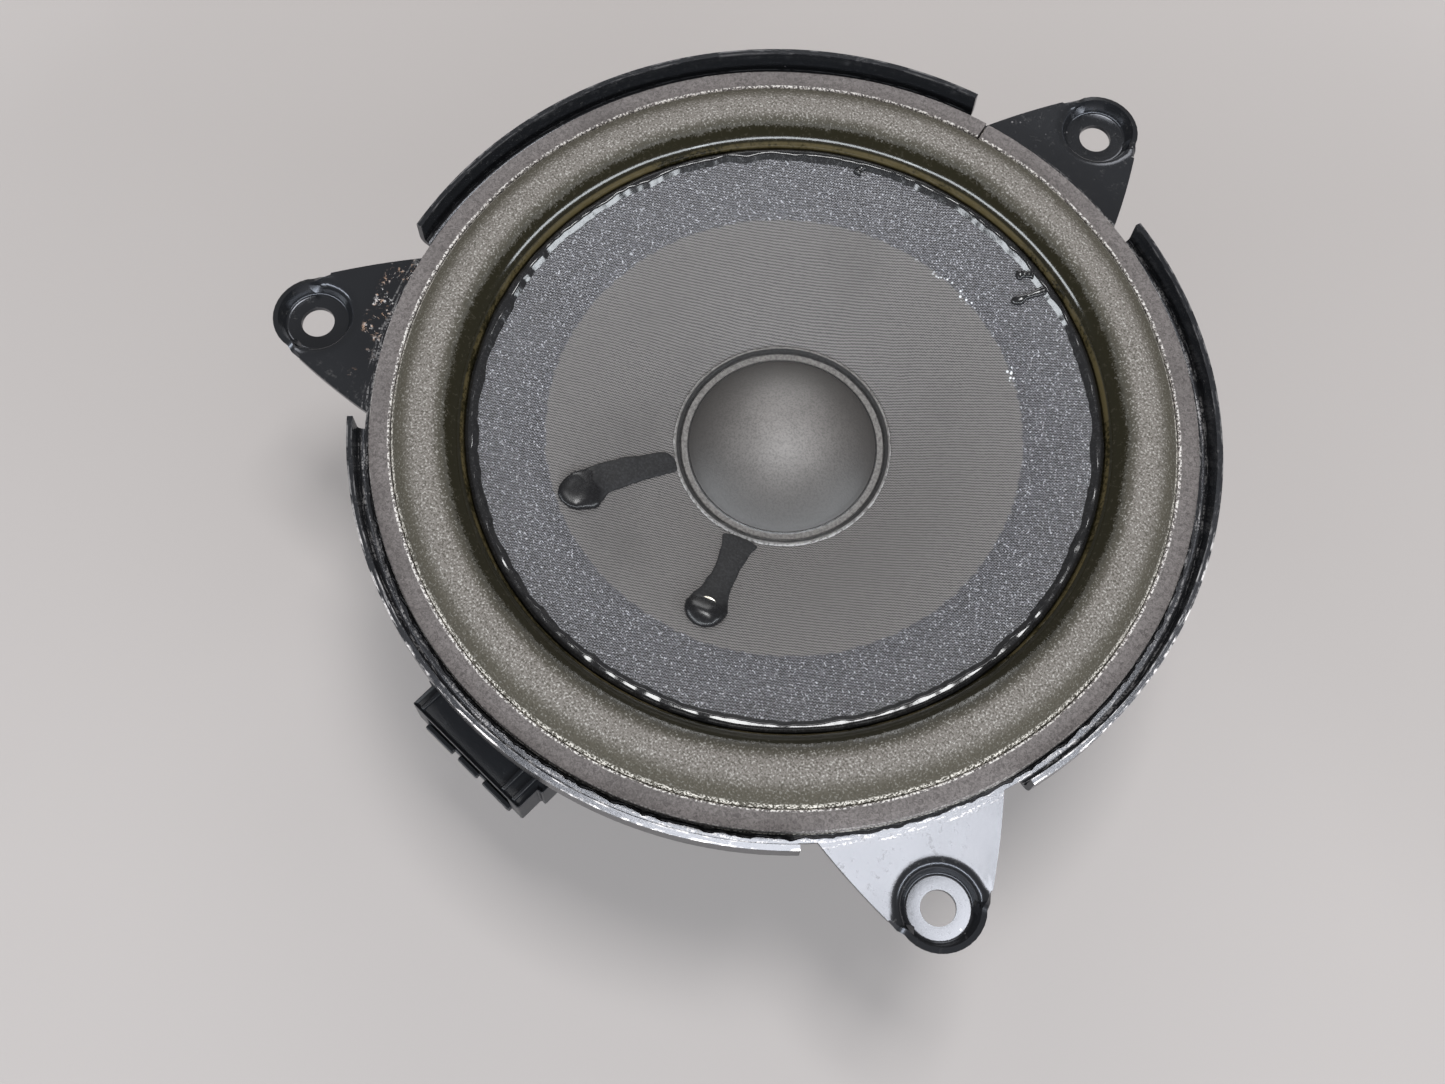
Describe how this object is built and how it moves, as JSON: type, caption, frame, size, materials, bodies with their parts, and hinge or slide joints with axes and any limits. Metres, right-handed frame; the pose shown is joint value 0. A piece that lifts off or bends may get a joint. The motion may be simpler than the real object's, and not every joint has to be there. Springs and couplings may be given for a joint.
{
  "type": "vehicle door loudspeaker",
  "caption": "Round vehicle door loudspeaker: stamped basket with fixing ears, foam surround, woven cone with dust cap, ferrite magnet and side connector.",
  "frame": {"origin": "on the axis at the rear face of the yoke, the surface that it stands on", "axes": "+Z out of the cone's front, +Y through the first fixing ear, -Y through the connector"},
  "size_m": [0.1816, 0.1904, 0.0673],
  "materials": {
    "plated_steel": "dull zinc plating",
    "ferrite": "ground dark ferrite",
    "black_paint": "gloss black stove paint on sheet steel",
    "gasket_fibre": "matt grey-brown fibre board",
    "surround_foam": "fine open-cell olive foam",
    "cone_weave": "woven fabric, coated near the edge",
    "black_glue": "glossy black adhesive",
    "dust_cap_paper": "satin dark grey",
    "former_film": "amber film",
    "copper_wire": "enamelled copper",
    "spider_cotton": "resin-dipped cotton",
    "black_plastic": "satin moulded plastic",
    "tinned_brass": "tinned brass",
    "tinsel_braid": "braided tinsel wire"
  },
  "bodies": {
    "frame": {"yoke": "plated_steel", "magnet": "ferrite", "top_plate": "plated_steel", "basket": "black_paint", "gasket": "gasket_fibre", "surround": "surround_foam", "spider": "spider_cotton", "plate_rivet_1": "plated_steel", "plate_rivet_2": "plated_steel", "plate_rivet_3": "plated_steel", "plate_rivet_4": "plated_steel", "connector_housing": "black_plastic", "contact_blade_1": "tinned_brass", "contact_blade_2": "tinned_brass", "housing_rivet_1": "plated_steel", "housing_rivet_2": "plated_steel", "tinsel_lead_1": "tinsel_braid", "tinsel_lead_2": "tinsel_braid"},
    "cone_assembly": {"cone": "cone_weave", "edge_glue": "black_glue", "dust_cap": "dust_cap_paper", "cap_glue": "black_glue", "coil_former": "former_film", "coil_winding": "copper_wire", "lead_eyelet_1": "tinned_brass", "lead_eyelet_2": "tinned_brass", "lead_glue_1": "black_glue", "lead_glue_2": "black_glue"}
  },
  "joints": [
    {"name": "cone_travel", "type": "slide", "parent": "frame", "child": "cone_assembly", "axis": [0, 0, 1], "range_m": [-0.004, 0.004], "stiffness_N_per_m": 1500, "deforming": ["surround", "spider", "tinsel_lead_1", "tinsel_lead_2"]}
  ]
}
